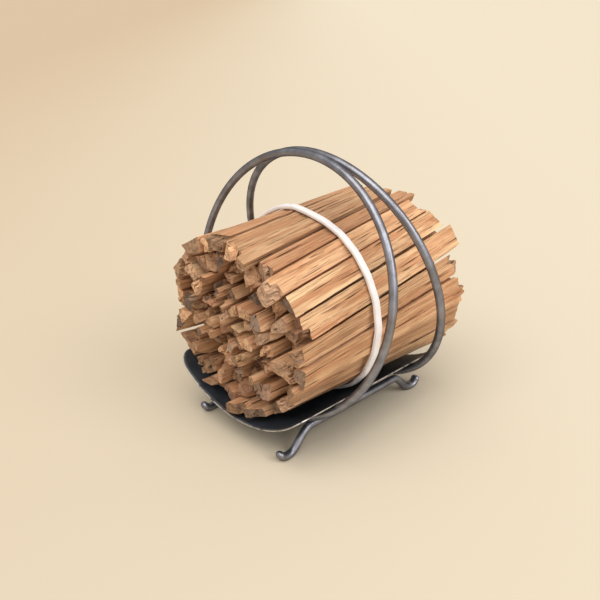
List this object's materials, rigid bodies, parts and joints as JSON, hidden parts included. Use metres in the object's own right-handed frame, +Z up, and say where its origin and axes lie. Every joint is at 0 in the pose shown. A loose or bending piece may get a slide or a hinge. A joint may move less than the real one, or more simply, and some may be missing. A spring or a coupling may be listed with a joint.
{
  "type": "bundle of kindling twigs in a hoop carrier",
  "caption": "Tied bundle of split kindling twigs lying in a dished sheet tray, held in a small round-bar carrier with two hoops that meet as a handle and curled feet.",
  "frame": {"origin": "middle of the footprint, on the surface that the four feet stand on", "axes": "+Z up, +Y along the twigs away from the shown ends, +X across the bundle to the right of someone facing those ends"},
  "size_m": [0.2388, 0.2188, 0.2365],
  "materials": {
    "bar_steel": "satin graphite",
    "tray_steel": "satin black",
    "split_wood": "raw, split along the grain",
    "band": "soft woven"
  },
  "bodies": {
    "root": {"hoop_front": "bar_steel", "hoop_back": "bar_steel", "rail_left": "bar_steel", "rail_right": "bar_steel", "tray": "tray_steel", "tie": "band", "inner_twigs": "split_wood", "twig_01": "split_wood", "twig_02": "split_wood", "twig_03": "split_wood", "twig_04": "split_wood", "twig_05": "split_wood", "twig_06": "split_wood", "twig_07": "split_wood", "twig_08": "split_wood", "twig_09": "split_wood", "twig_10": "split_wood", "twig_11": "split_wood", "twig_12": "split_wood", "twig_13": "split_wood", "twig_14": "split_wood", "twig_15": "split_wood", "twig_16": "split_wood", "twig_17": "split_wood", "twig_18": "split_wood", "twig_19": "split_wood", "twig_20": "split_wood", "twig_21": "split_wood", "twig_22": "split_wood", "twig_23": "split_wood", "twig_24": "split_wood", "twig_25": "split_wood", "twig_26": "split_wood", "twig_27": "split_wood", "twig_28": "split_wood", "twig_29": "split_wood", "twig_30": "split_wood", "twig_31": "split_wood", "twig_32": "split_wood", "twig_33": "split_wood", "twig_34": "split_wood", "twig_35": "split_wood", "twig_36": "split_wood", "twig_37": "split_wood", "twig_38": "split_wood", "twig_39": "split_wood", "twig_40": "split_wood", "twig_41": "split_wood", "twig_42": "split_wood", "twig_43": "split_wood", "twig_44": "split_wood", "twig_45": "split_wood", "twig_46": "split_wood", "twig_47": "split_wood", "twig_48": "split_wood", "twig_49": "split_wood", "twig_50": "split_wood", "twig_51": "split_wood", "twig_52": "split_wood", "twig_53": "split_wood"}
  },
  "joints": []
}
